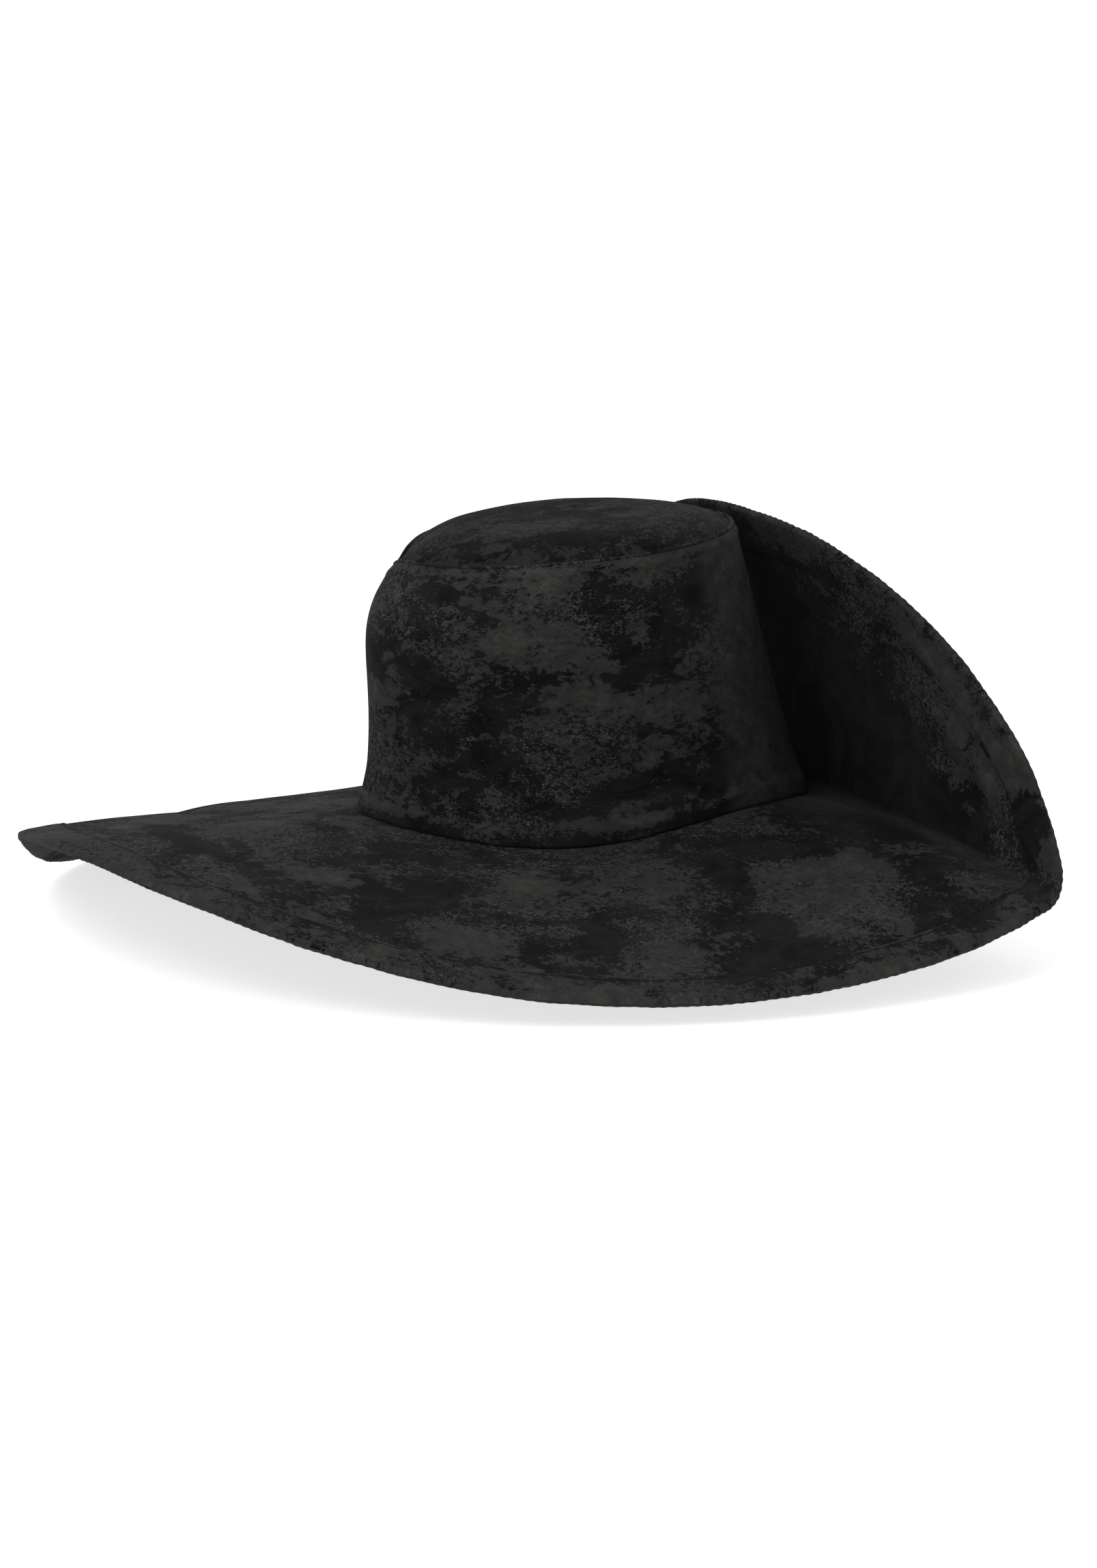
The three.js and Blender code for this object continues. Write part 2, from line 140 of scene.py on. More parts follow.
# Softness of the cloth: wavelength and depth of its broad and its fine bumps
BRIM_BUMPS = [(85 * MM, 1.6 * MM), (24 * MM, 0.28 * MM)]
CROWN_BUMPS = [(62 * MM, 1.1 * MM), (19 * MM, 0.25 * MM)]
TIP_BUMPS = [(50 * MM, 0.9 * MM), (16 * MM, 0.25 * MM)]

# ---------------------------------------------------------------- surfaces


def smooth(t):
    t = np.clip(t, 0, 1)
    return t * t * (3 - 2 * t)


def bell(value, centre, width):
    return np.exp(-(((value - centre) / width) ** 2))


def lattice_noise(points, wavelength, octaves=3, seed=0):
    """Smooth noise from -1 to 1 at points (n, 3)."""
    table = np.random.RandomState(seed).rand(32, 32, 32) * 2 - 1
    total = np.zeros(points.shape[:-1])
    weight, norm = 1.0, 0.0
    for octave in range(octaves):
        q = points / wavelength * 2**octave + 7.3 * octave + 100
        base = np.floor(q).astype(int)
        part = q - base
        part = part * part * (3 - 2 * part)
        value = np.zeros(points.shape[:-1])
        for corner in range(8):
            step = np.array([corner & 1, corner >> 1 & 1, corner >> 2 & 1])
            cell = (base + step) % 32
            share = np.prod(np.where(step == 1, part, 1 - part), axis=-1)
            value += share * table[cell[..., 0], cell[..., 1], cell[..., 2]]
        total += weight * value
        norm += weight
        weight *= 0.5
    return total / norm


def bumps(points, waves, seed):
    """Soft random bumps, from a list of wavelengths and depths."""
    return sum(
        lattice_noise(points, length, 2, seed + i) * depth for i, (length, depth) in enumerate(waves)
    )


def outwards(angle):
    """The level direction away from the crown's axis."""
    return np.stack([np.cos(angle), np.sin(angle), np.zeros_like(angle)], axis=-1)


def head_radius(angle):
    return 1 / np.hypot(np.cos(angle) / HEAD_HALF_WIDTH, np.sin(angle) / HEAD_HALF_LENGTH)


def slump(angle):
    return bell(angle % TURN, SLUMP_ANGLE, SLUMP_WIDTH)


def top_radius(angle):
    oval = 1 / np.hypot(np.cos(angle) / TOP_HALF_WIDTH, np.sin(angle) / TOP_HALF_LENGTH)
    return oval * (1 - SLUMP_PINCH * slump(angle))


def top_seam_height(angle):
    return CROWN_HEIGHT + TOP_RISE_BACK * np.sin(angle) - SLUMP_DROP * slump(angle)


def rim_radius(angle):
    return RIM_RADIUS + RIM_OVALITY * np.cos(2 * angle) - RIM_FRONT_REACH * np.sin(angle)


def rim_height(angle):
    waves = RIM_RISE_BACK * np.sin(angle) + RIM_WAVE * np.sin(3 * angle)
    return RIM_HEIGHT + waves - RIM_SIDE_DROOP * np.cos(2 * angle)


def fold_height(x):
    return FOLD_HEIGHT + FOLD_BOW * np.maximum(0, 1 - (x / FOLD_BOW_HALF_WIDTH) ** 2)


def seam_height(angle):
    return SEAM_HEIGHT + SEAM_RISE_BACK * np.sin(angle) + SEAM_WAVE * np.sin(3 * angle)


def brim_height(x, y):
    angle = np.arctan2(y, x)
    inner = head_radius(angle)
    reach = np.clip((np.hypot(x, y) - inner) / (rim_radius(angle) - inner), 0, 1)
    share = reach**RIM_CURVE_POWER
    height = seam_height(angle) * (1 - share) + rim_height(angle) * share
    for bearing, width, drop, power in RIM_SAGS:
        height -= drop * MM * reach**power * bell(np.degrees(angle % TURN), bearing, width)
    ease = smooth((y - FOLD_BACK + FOLD_EASE) / FOLD_EASE)
    return height * (1 - ease) + fold_height(x) * ease


def brim_point(x, y):
    """The middle of the brim at the flat pattern's x and y. What lies past the fold stands up."""
    past = y - FOLD_BACK
    crease = CREASE + CORNER_CREASE * smooth((np.abs(x) - CORNER_START) / CORNER_EASE)
    turn = np.clip((past + crease) / (2 * crease), 0, 1) * math.pi / 2
    inside = np.abs(past) < crease
    along = np.where(inside, -crease + crease * np.sin(turn), np.minimum(past, 0))
    up = np.where(inside, crease * (1 - np.cos(turn)), np.maximum(past, 0))
    lean = FLAP_LEAN + FLAP_CURL * up + FLAP_FLARE * x * x
    lean = np.where(up > 0, lean, 0)
    ground = FOLD_BACK + along
    return np.stack(
        [x, ground + up * np.sin(lean), brim_height(x, ground) + up * np.cos(lean)], axis=-1
    )


def brim_normal(x, y):
    step = 0.4 * MM
    along_x = brim_point(x + step, y) - brim_point(x - step, y)
    along_y = brim_point(x, y + step) - brim_point(x, y - step)
    normal = np.cross(along_x, along_y)
    return normal / np.linalg.norm(normal, axis=-1, keepdims=True)


def crown_point(angle, t, depth=0.0, lift=0.0):
    """Side of the crown: t is 0 at the brim and 1 at the top seam, and depth is inwards."""
    low = head_radius(angle) - depth
    low_x, low_y = low * np.cos(angle), low * np.sin(angle)
    high = top_radius(angle) - depth
    bulge = FRONT_BULGE * np.maximum(0, -np.sin(angle))
    bulge = bulge * np.sin(math.pi * np.clip(t, 0, 1) ** BULGE_POWER)
    bottom = np.stack([low_x, low_y, brim_height(low_x, low_y)], axis=-1)
    top = np.stack(
        [
            high * np.cos(angle),
            high * np.sin(angle) + TOP_SHIFT_BACK,
            top_seam_height(angle),
        ],
        axis=-1,
    )
    point = bottom + (top - bottom) * t[..., None]
    point[..., 0] += bulge * np.cos(angle)
    point[..., 1] += bulge * np.sin(angle)
    point[..., 2] += lift
    return point


def tip_point(angle, share, depth=0.0, lift=0.0):
    """Top of the crown: share is 1 at the seam and 0 at the centre."""
    radius = (top_radius(angle) - depth) * share
    dome = DOME_RISE * (1 - share**DOME_POWER) - DOME_TILT * (1 - share**2) * np.sin(angle) * share
    slope = TOP_RISE_BACK * np.sin(angle) * share - SLUMP_DROP * slump(angle) * share**4
    return np.stack(
        [
            radius * np.cos(angle),
            radius * np.sin(angle) + TOP_SHIFT_BACK,
            CROWN_HEIGHT + slope + dome + lift,
        ],
        axis=-1,
    )


# ---------------------------------------------------------------- meshes


def signed_volume(verts, faces):
    a, b, c, d = (verts[faces[:, k]] for k in range(4))
    return (np.einsum("ij,ij->i", a, np.cross(b, c)) + np.einsum("ij,ij->i", a, np.cross(c, d))).sum()


def make_mesh(name, verts, quads, tris=(), polygons=(), material=None, pattern=None, tone=None):
    if signed_volume(verts, np.asarray(quads)) < 0:
        quads = [q[::-1] for q in quads]
        tris = [t[::-1] for t in tris]
        polygons = [p[::-1] for p in polygons]
    faces = [list(map(int, f)) for group in (quads, tris, polygons) for f in group]
    mesh = bpy.data.meshes.new(name)
    mesh.from_pydata(verts.tolist(), [], faces)
    mesh.polygons.foreach_set("use_smooth", np.ones(len(mesh.polygons), bool))
    obj = bpy.data.objects.new(name, mesh)
    bpy.context.scene.collection.objects.link(obj)
    place = verts if pattern is None else pattern
    attribute = mesh.attributes.new("pattern", "FLOAT_VECTOR", "POINT")
    attribute.data.foreach_set("vector", np.asarray(place, np.float32).ravel())
    if tone is not None:
        attribute = mesh.attributes.new("tone", "FLOAT_VECTOR", "POINT")
        values = np.concatenate([tone, np.zeros((len(verts), 1))], axis=1)
        attribute.data.foreach_set("vector", np.asarray(values, np.float32).ravel())
    if material is not None:
        mesh.materials.append(material)
    mesh.update()
    return obj


def grid_quads(rows, columns, wrap_rows, wrap_columns):
    i = np.arange(rows if wrap_rows else rows - 1)
    j = np.arange(columns if wrap_columns else columns - 1)
    i, j = (g.ravel() for g in np.meshgrid(i, j, indexing="ij"))
    i2, j2 = (i + 1) % rows, (j + 1) % columns
    return np.stack([i * columns + j, i2 * columns + j, i2 * columns + j2, i * columns + j2], -1)


def ring_solid(name, sections, **more):
    """Closed sections (n, k, 3) joined in a ring."""
    n, k = sections.shape[:2]
    for key in ("pattern", "tone"):
        if more.get(key) is not None:
            more[key] = more[key].reshape(n * k, -1)
    return make_mesh(name, sections.reshape(-1, 3), grid_quads(n, k, True, True), **more)


def strip_solid(name, sections, **more):
    """Closed sections (n, k, 3) joined in a row, with capped ends."""
    n, k = sections.shape[:2]
    for key in ("pattern", "tone"):
        if more.get(key) is not None:
            more[key] = more[key].reshape(n * k, -1)
    caps = [list(range(k)), list(range((n - 1) * k, n * k))[::-1]]
    quads = grid_quads(n, k, False, True)
    return make_mesh(name, sections.reshape(-1, 3), quads, polygons=caps, **more)


def disc_solid(name, top, bottom, **more):
    """Two polar grids (n, k, 3), from near the centre to the edge, joined at the edge."""
    n, k = top.shape[:2]
    sections = np.concatenate([top, bottom[:, ::-1]], axis=1)
    quads = grid_quads(n, 2 * k, True, False)
    middles = np.stack([top[:, 0].mean(axis=0), bottom[:, 0].mean(axis=0)])
    verts = np.concatenate([sections.reshape(-1, 3), middles])
    first = n * 2 * k
    i = np.arange(n)
    near, after = i * 2 * k, (i + 1) % n * 2 * k
    tris = np.stack([np.full(n, first), after, near], -1)
    end = 2 * k - 1
    tris = np.concatenate([tris, np.stack([np.full(n, first + 1), near + end, after + end], -1)])
    for key in ("pattern", "tone"):
        if more.get(key) is not None:
            value = more[key].reshape(n * 2 * k, -1)
            more[key] = np.concatenate([value, value[[0, end]]])
    return make_mesh(name, verts, quads, tris=tris, **more)


def sheet_sections(outer, inner):
    """Sections of a sheet from its two faces (n, k, 3), with a rounded edge on both sides."""
    def edge(a, b, a2, b2):
        out = (a + b) / 2 - (a2 + b2) / 2
        out /= np.linalg.norm(out, axis=-1, keepdims=True) + 1e-12
        half = np.linalg.norm(a - b, axis=-1, keepdims=True) / 2
        return ((a + b) / 2 + out * half * 0.8)[:, None]
    far = edge(outer[:, -1], inner[:, -1], outer[:, -2], inner[:, -2])
    near = edge(outer[:, 0], inner[:, 0], outer[:, 1], inner[:, 1])
    return np.concatenate([outer, far, inner[:, ::-1], near], axis=1)


def like_sections(outer, inner):
    """Per-point values (n, k, c) of the two faces, laid out as sheet_sections lays its points."""
    return np.concatenate([outer, outer[:, -1:], inner[:, ::-1], outer[:, :1]], axis=1)


def tube(name, path, radius, sides=8, closed=True, **more):
    """A round bar along a path (n, 3)."""
    if closed:
        ahead = np.roll(path, -1, axis=0) - np.roll(path, 1, axis=0)
    else:
        ahead = np.gradient(path, axis=0)
    ahead /= np.linalg.norm(ahead, axis=1, keepdims=True)
    side = np.cross(ahead, [0, 0, 1.0])
    side /= np.linalg.norm(side, axis=1, keepdims=True) + 1e-12
    over = np.cross(side, ahead)
    turn = np.arange(sides) / sides * TURN
    ring = side[:, None] * np.cos(turn)[:, None] + over[:, None] * np.sin(turn)[:, None]
    sections = path[:, None] + ring * np.broadcast_to(radius, (len(path),))[:, None, None]
    return (ring_solid if closed else strip_solid)(name, sections, **more)


# ---------------------------------------------------------------- materials


class Nodes:
    """Short calls for building one material's nodes."""

    def __init__(self, name):
        self.material = bpy.data.materials.new(name)
        self.material.use_nodes = True
        self.tree = self.material.node_tree
        self.bsdf = self.tree.nodes["Principled BSDF"]

    def node(self, kind, inputs=None, **settings):
        made = self.tree.nodes.new(kind)
        for key, value in settings.items():
            setattr(made, key, value)
        for key, value in (inputs or {}).items():
            if isinstance(value, bpy.types.NodeSocket):
                self.tree.links.new(value, made.inputs[key])
            else:
                made.inputs[key].default_value = value
        return made

    def math(self, operation, a, b=0.0, clamp=False):
        return self.node("ShaderNodeMath", {0: a, 1: b}, operation=operation, use_clamp=clamp).outputs[0]

    def place(self, scale=(1, 1, 1), shift=(0, 0, 0), turn=(0, 0, 0)):
        source = self.node("ShaderNodeAttribute", attribute_name="pattern").outputs["Vector"]
        inputs = {"Vector": source, "Scale": scale, "Location": shift, "Rotation": turn}
        return self.node("ShaderNodeMapping", inputs).outputs[0]

    def noise(self, vector, scale, detail=2.0, roughness=0.5, distortion=0.0):
        inputs = {
            "Vector": vector,
            "Scale": scale,
            "Detail": detail,
            "Roughness": roughness,
            "Distortion": distortion,
        }
        return self.node("ShaderNodeTexNoise", inputs).outputs[0]

    def ramp(self, value, low, high, out_low=0.0, out_high=1.0, kind="SMOOTHSTEP"):
        inputs = {0: value, 1: low, 2: high, 3: out_low, 4: out_high}
        return self.node("ShaderNodeMapRange", inputs, interpolation_type=kind).outputs[0]

    def mix(self, share, a, b):
        mixer = self.node("ShaderNodeMix", data_type="RGBA")
        for index, value in ((0, share), (6, a), (7, b)):
            if isinstance(value, bpy.types.NodeSocket):
                self.tree.links.new(value, mixer.inputs[index])
            else:
                mixer.inputs[index].default_value = value
        return mixer.outputs[2]

    def bump(self, height, strength, distance, below=None):
        inputs = {"Height": height, "Strength": strength, "Distance": distance}
        if below is not None:
            inputs["Normal"] = below
        return self.node("ShaderNodeBump", inputs).outputs[0]

    def finish(self, color=None, roughness=None, normal=None, **fixed):
        for key, value in (("Base Color", color), ("Roughness", roughness), ("Normal", normal)):
            if isinstance(value, bpy.types.NodeSocket):
                self.tree.links.new(value, self.bsdf.inputs[key])
            elif value is not None:
                self.bsdf.inputs[key].default_value = value
        for key, value in fixed.items():
            self.bsdf.inputs[key.replace("_", " ")].default_value = value
        return self.material


def grey(value, warm=0.0, green=0.0):
    """A grey that leans warm or green by a share of its value."""
    return (value * (1 + warm), value * (1 + green), value * (1 - warm), 1)


BLACK = grey(0.0042, 0.02, -0.04)
SOOT = grey(0.0112, 0.03, -0.03)
CHARCOAL = grey(0.029, 0.03, 0.0)
ASH = grey(0.045, 0.04, 0.01)
PALE = grey(0.08, 0.03, 0.01)


def suede(name, shift, stretch=(1, 1, 1), smear=(1, 1, 0.8), shade=1.0):
    """Near-black distressed suede: charcoal patches with crackled edges, over a short nap."""
    n = Nodes(name)
    black, soot, charcoal, ash, pale = (
        tuple(c * shade for c in color[:3]) + (1,) for color in (BLACK, SOOT, CHARCOAL, ASH, PALE)
    )
    place = n.place(stretch, shift)
    # The tone attribute carries the cloth's own darker and lighter patches, and also painted shade and
    # painted highlights
    tone_attribute = n.node("ShaderNodeAttribute", attribute_name="tone").outputs["Vector"]
    tone_attribute = n.node("ShaderNodeSeparateXYZ", {0: tone_attribute})
    tone, calm = tone_attribute.outputs[0], tone_attribute.outputs[1]
    # Patches: clouds and blotches, biased by the tone, with an edge torn by finer noise
    cloud = n.noise(place, 21, 3, 0.55, 0.9)
    blotch = n.noise(place, 75, 4, 0.62, 0.7)
    crackle = n.noise(place, 400, 3, 0.72, 0.35)
    grit = n.noise(place, 1050, 2, 0.6)
    zone = n.ramp(n.noise(place, 17, 2, 0.5), 0.42, 0.6)
    fray = n.math("SUBTRACT", n.noise(place, 170, 3, 0.62, 0.8), 0.5)
    tear = n.ramp(zone, 0, 1, 0.7, 1.75, "LINEAR")
    ragged = n.math("MULTIPLY", n.math("SUBTRACT", crackle, 0.5), tear)
    chipping = n.ramp(zone, 0, 1, 0.2, 0.75, "LINEAR")
    chips = n.math("MULTIPLY", n.math("SUBTRACT", grit, 0.5), chipping)
    field = n.math("ADD", cloud, n.math("MULTIPLY", blotch, 0.85))
    field = n.math("ADD", field, tone)
    level = 0.935
    edge = n.ramp(n.math("ABSOLUTE", n.math("SUBTRACT", field, level)), 0.03, 0.17, 1.0, 0.0)
    field = n.math("ADD", field, n.math("MULTIPLY", fray, 0.6))
    field = n.math("ADD", field, n.math("ADD", ragged, chips))
    patch = n.ramp(field, level - 0.03, level + 0.035)
    bare = n.ramp(field, level + 0.1, level + 0.34)
    # Colours of the ground, the patches and their bare middles
    haze = n.ramp(n.noise(place, 38, 4, 0.65, 1.2), 0.36, 0.64)
    color = n.mix(haze, black, soot)
    worn = n.mix(n.ramp(n.noise(place, 50, 3, 0.6), 0.36, 0.64), charcoal, ash)
    color = n.mix(n.math("MULTIPLY", patch, 0.88), color, charcoal)
    color = n.mix(n.math("MULTIPLY", bare, 0.85), color, worn)
    # Dark cracks, pale flecks along the edges, and the even nap of the calm areas
    vein = n.math("ABSOLUTE", n.math("SUBTRACT", n.noise(place, 210, 2, 0.5, 1.6), 0.5))
    vein = n.math("MULTIPLY", n.ramp(vein, 0.006, 0.034, 1.0, 0.0), zone)
    color = n.mix(n.math("MULTIPLY", vein, 0.62), color, black)
    fleck = n.math("MULTIPLY", n.ramp(grit, 0.56, 0.66), n.math("MULTIPLY", zone, edge))
    color = n.mix(n.math("MULTIPLY", fleck, 0.75), color, pale)
    streak = n.noise(n.place(smear, shift), 90, 5, 0.68, 0.8)
    even = n.mix(n.ramp(streak, 0.3, 0.68, 0.25, 0.85), soot, ash)
    color = n.mix(calm, color, even)
    mottle = n.ramp(n.noise(place, 160, 3, 0.62), 0.3, 0.7, 0.0, 0.3)
    color = n.mix(mottle, color, black)
    nap = n.noise(place, 2600, 2, 0.6)
    color = n.mix(n.ramp(nap, 0.3, 0.7, 0.0, 0.2), color, black)
    roughness = n.ramp(patch, 0, 1, 0.97, 0.84, "LINEAR")
    normal = n.bump(nap, 0.4, 0.0004)
    normal = n.bump(crackle, 0.3, 0.0006, normal)
    normal = n.bump(patch, 0.3, 0.0003, normal)
    return n.finish(
        color,
        roughness,
        normal,
        Specular_IOR_Level=0.045,
        Sheen_Weight=0.018,
        Sheen_Roughness=0.4,
        Sheen_Tint=(0.8, 0.79, 0.77, 1),
    )


def thread(name):
    n = Nodes(name)
    twist = n.node(
        "ShaderNodeTexWave",
        {"Vector": n.place(turn=(0, 0, 0.7)), "Scale": 1400.0, "Distortion": 1.0},
    ).outputs["Fac"]
    color = n.mix(twist, (0.004, 0.004, 0.004, 1), (0.012, 0.012, 0.012, 1))
    roughness = n.ramp(twist, 0, 1, 0.85, 0.7)
    return n.finish(color, roughness, n.bump(twist, 0.4, 0.0001), Specular_IOR_Level=0.12)


def interlining(name):
    n = Nodes(name)
    fibre = n.noise(n.place((1, 0.15, 1)), 1900, 4, 0.7, 1.5)
    spots = n.node("ShaderNodeTexVoronoi", {"Vector": n.place(), "Scale": 420.0}).outputs["Distance"]
    pressed = n.ramp(spots, 0.1, 0.35)
    color = n.mix(fibre, (0.05, 0.048, 0.045, 1), (0.11, 0.105, 0.1, 1))
    normal = n.bump(pressed, 0.4, 0.0002, n.bump(fibre, 0.5, 0.0002))
    return n.finish(color, n.ramp(pressed, 0, 1, 0.75, 0.95), normal)


def satin(name, light=False):
    n = Nodes(name)
    threads = n.node("ShaderNodeTexWave", {"Vector": n.place(), "Scale": 900.0, "Distortion": 0.6})
    cross = n.node(
        "ShaderNodeTexWave",
        {"Vector": n.place(), "Scale": 700.0, "Distortion": 0.6},
        bands_direction="Z",
    )
    weave = n.math("MULTIPLY", threads.outputs["Fac"], cross.outputs["Fac"])
    cloud = n.noise(n.place(), 60, 4, 0.6)
    dark, pale = ((0.5, 0.48, 0.44, 1), (0.72, 0.71, 0.67, 1)) if light else (
        (0.006, 0.006, 0.007, 1), (0.02, 0.02, 0.022, 1))
    color = n.mix(n.ramp(cloud, 0.3, 0.7), dark, pale)
    color = n.mix(n.math("MULTIPLY", weave, 0.35), color, pale)
    roughness = n.ramp(cloud, 0.3, 0.7, 0.32, 0.45)
    return n.finish(color, roughness, n.bump(weave, 0.25, 0.0001), Specular_IOR_Level=0.5)


def grosgrain(name):
    n = Nodes(name)
    ribs = n.node(
        "ShaderNodeTexWave",
        {"Vector": n.place(), "Scale": 190.0, "Distortion": 0.3, "Detail": 1.0},
        bands_direction="Z",
    ).outputs["Fac"]
    fibre = n.noise(n.place((1, 1, 0.2)), 2400, 3, 0.6)
    color = n.mix(ribs, (0.005, 0.005, 0.006, 1), (0.024, 0.024, 0.026, 1))
    color = n.mix(n.math("MULTIPLY", fibre, 0.4), color, (0.012, 0.012, 0.013, 1))
    normal = n.bump(fibre, 0.2, 0.0001, n.bump(ribs, 0.7, 0.0004))
    return n.finish(color, n.ramp(ribs, 0, 1, 0.75, 0.5), normal, Sheen_Weight=0.1)


def steel(name):
    """Drawn galvanised wire, with faint spangle."""
    n = Nodes(name)
    place = n.node("ShaderNodeTexCoord").outputs["Object"]
    drawn = n.noise(place, 700, 3, 0.6)
    spangle = n.noise(place, 90, 4, 0.6)
    color = n.mix(spangle, (0.42, 0.42, 0.42, 1), (0.62, 0.62, 0.61, 1))
    roughness = n.ramp(drawn, 0.3, 0.7, 0.28, 0.5)
    return n.finish(color, roughness, n.bump(drawn, 0.15, 0.0001), Metallic=1.0)


# ---------------------------------------------------------------- brim

RIM_COLUMNS = 720
HEM_COLUMNS = 1440
ANGLES = np.arange(RIM_COLUMNS) / RIM_COLUMNS * TURN
HEM_ANGLES = np.arange(HEM_COLUMNS) / HEM_COLUMNS * TURN


def rim_length():
    radius = rim_radius(HEM_ANGLES)
    edge = brim_point(radius * np.cos(HEM_ANGLES), radius * np.sin(HEM_ANGLES))
    return np.linalg.norm(np.roll(edge, -1, axis=0) - edge, axis=1).sum()


def unevenness(angle):
    """How far the rim strays in and out."""
    ring = outwards(angle) * RIM_RADIUS
    broad = lattice_noise(ring, 55 * MM, 2, 5) * 0.7 * MM
    fine = lattice_noise(ring, 17 * MM, 1, 6) * 0.3 * MM
    return broad + fine


def pattern_xy(angle, inset):
    """Flat pattern x and y at a distance inside the rim."""
    radius = rim_radius(angle) + unevenness(angle) - inset
    return radius * np.cos(angle), radius * np.sin(angle)


# Long soft creases on the flap, each from one pattern point to another, with depth and width, in mm
FLAP_CREASES = [
    ((112, 161), (196, 124), -1.3, 6),
    ((118, 178), (208, 128), 1.3, 6),
    ((150, 172), (204, 131), -0.9, 4),
    ((142, 208), (214, 150), -0.8, 6),
    ((92, 170), (176, 120), 0.9, 8),
    ((-112, 200), (-204, 136), 1.0, 8),
    ((-130, 214), (-212, 146), -0.8, 7),
]


def crease_relief(x, y):
    """The flap's creases, each faded out at its ends."""
    total = np.zeros_like(x)
    for (x0, y0), (x1, y1), depth, width in FLAP_CREASES:
        ax, ay = x1 - x0, y1 - y0
        length = math.hypot(ax, ay)
        px, py = x / MM - x0, y / MM - y0
        share = (px * ax + py * ay) / length**2
        off = (px * ay - py * ax) / length
        fade = smooth(share * 3 + 0.5) * smooth((1 - share) * 3 + 0.5)
        total += depth * MM * fade * np.exp(-((off / width) ** 2))
    return total


def brim_relief(x, y):
    """Shallow bumps that both faces of the brim share."""
    flat = np.stack([x, y, np.zeros_like(x)], -1)
    angle = np.arctan2(y, x)
    reach = smooth((np.hypot(x, y) - head_radius(angle)) / (30 * MM))
    return (bumps(flat, BRIM_BUMPS, 11) + crease_relief(x, y)) * reach


def brim_face(x, y, offset):
    """A surface at a distance above the brim's middle, with the brim's bumps."""
    return brim_point(x, y) + brim_normal(x, y) * (offset + brim_relief(x, y))[..., None]


def polar_pattern(angles, inner_cut, outer_inset, columns):
    """Flat pattern x and y of a grid from inside the head oval to just inside the rim."""
    inner = head_radius(angles) - inner_cut
    outer = rim_radius(angles) + unevenness(angles) - outer_inset
    share = np.linspace(0, 1, columns)
    radius = inner[:, None] + (outer - inner)[:, None] * share
    return radius * np.cos(angles)[:, None], radius * np.sin(angles)[:, None]


def pattern_area(x, y):
    """Area of a polar pattern grid (n, k)."""
    x2, y2 = np.roll(x, -1, axis=0), np.roll(y, -1, axis=0)

    def area(ax, ay, bx, by, cx, cy):
        return np.abs((bx - ax) * (cy - ay) - (by - ay) * (cx - ax)).sum() / 2
    first = area(x[:, :-1], y[:, :-1], x[:, 1:], y[:, 1:], x2[:, 1:], y2[:, 1:])
    second = area(x[:, :-1], y[:, :-1], x2[:, 1:], y2[:, 1:], x2[:, :-1], y2[:, :-1])
    return first + second


# Tone of the upper suede, darker below zero and lighter above, in pattern millimetres and degrees. Most
# spots
# are the suede's own patches; the big dark spots on the flap are painted shade, and the light spot at
# the left tip is painted light:
# x, y, half width, half height, turn, strength
BRIM_TONES = [
    (120, -140, 34, 13, -45, -0.30),
    (140, -168, 16, 11, -30, -0.22),
    (190, -86, 19, 12, -10, -0.36),
    (236, -32, 15, 30, 10, -0.34),
    (206, -13, 12, 9, 0, -0.30),
    (162, -7, 22, 7, -12, -0.32),
    (134, 30, 26, 14, 55, -0.22),
    (196, 66, 12, 9, 0, -0.28),
    (164, -72, 12, 18, 0, -0.16),
    (82, -84, 14, 22, 0, -0.20),
    (18, -203, 44, 7, 4, -0.34),
    (33, -185, 20, 5, -10, -0.26),
    (-19, -196, 20, 6, 20, -0.24),
    (111, -154, 14, 8, -30, -0.24),
    (9, -135, 20, 7, 15, -0.22),
    (57, -127, 14, 8, 0, -0.16),
    (186, 36, 32, 24, 10, 0.30),
    (214, 82, 22, 11, 0, 0.22),
    (132, -42, 32, 20, 0, 0.24),
    (110, -86, 24, 11, 0, 0.20),
    (214, -70, 20, 18, 0, 0.22),
    (170, -138, 26, 14, 40, 0.24),
    (80, -212, 22, 9, 12, 0.24),
    (88, -168, 18, 10, 20, 0.26),
    (-63, -129, 34, 16, -20, 0.16),
    (-60, -190, 40, 22, -10, 0.16),
    # Painted light at the left tip, to brighten its underside; it lightens the top there too
    (-14, -246, 30, 10, 0, 0.30),
    (-20, -160, 30, 12, 0, 0.12),
    (-150, -80, 50, 50, 0, 0.08),
    # Painted shade on the flap beside the crown and along the base of its fold
    (50, 150, 100, 50, -37, -0.66),
    (130, 118, 70, 12, 0, -0.40),
    (-60, 175, 66, 60, 0, -0.40),
    (62, 231, 30, 9, -12, 0.14),
    (125, 204, 22, 8, -38, 0.24),
    (160, 178, 26, 9, -38, 0.28),
    (193, 156, 18, 12, -52, 0.34),
    (140, 186, 12, 5, -38, -0.22),
    (209, 138, 10, 9, -50, -0.26),
    (226, 121, 10, 12, 0, 0.26),
    (178, 142, 24, 7, -38, 0.16),
]

# Where the upper suede is smooth and even: x, y, half width, half height, turn, share
BRIM_CALMS = [
    (70, 84, 44, 20, -12, 0.75),
    (160, 100, 70, 9, 0, 0.6),
    (96, 150, 50, 26, -37, 0.2),
]


def blots(x, y, table):
    """The sum of soft oval spots listed in a table."""
    total = np.zeros_like(x)
    for bx, by, half_x, half_y, turn, strength in table:
        c, s = math.cos(math.radians(turn)), math.sin(math.radians(turn))
        px, py = x / MM - bx, y / MM - by
        u, v = (px * c + py * s) / half_x, (-px * s + py * c) / half_y
        total += strength * np.exp(-((u * u + v * v) ** 1.3))
    return total


def brim_wear_and_painted_light(x, y):
    return np.stack([blots(x, y, BRIM_TONES), np.clip(blots(x, y, BRIM_CALMS), 0, 1)], axis=-1)


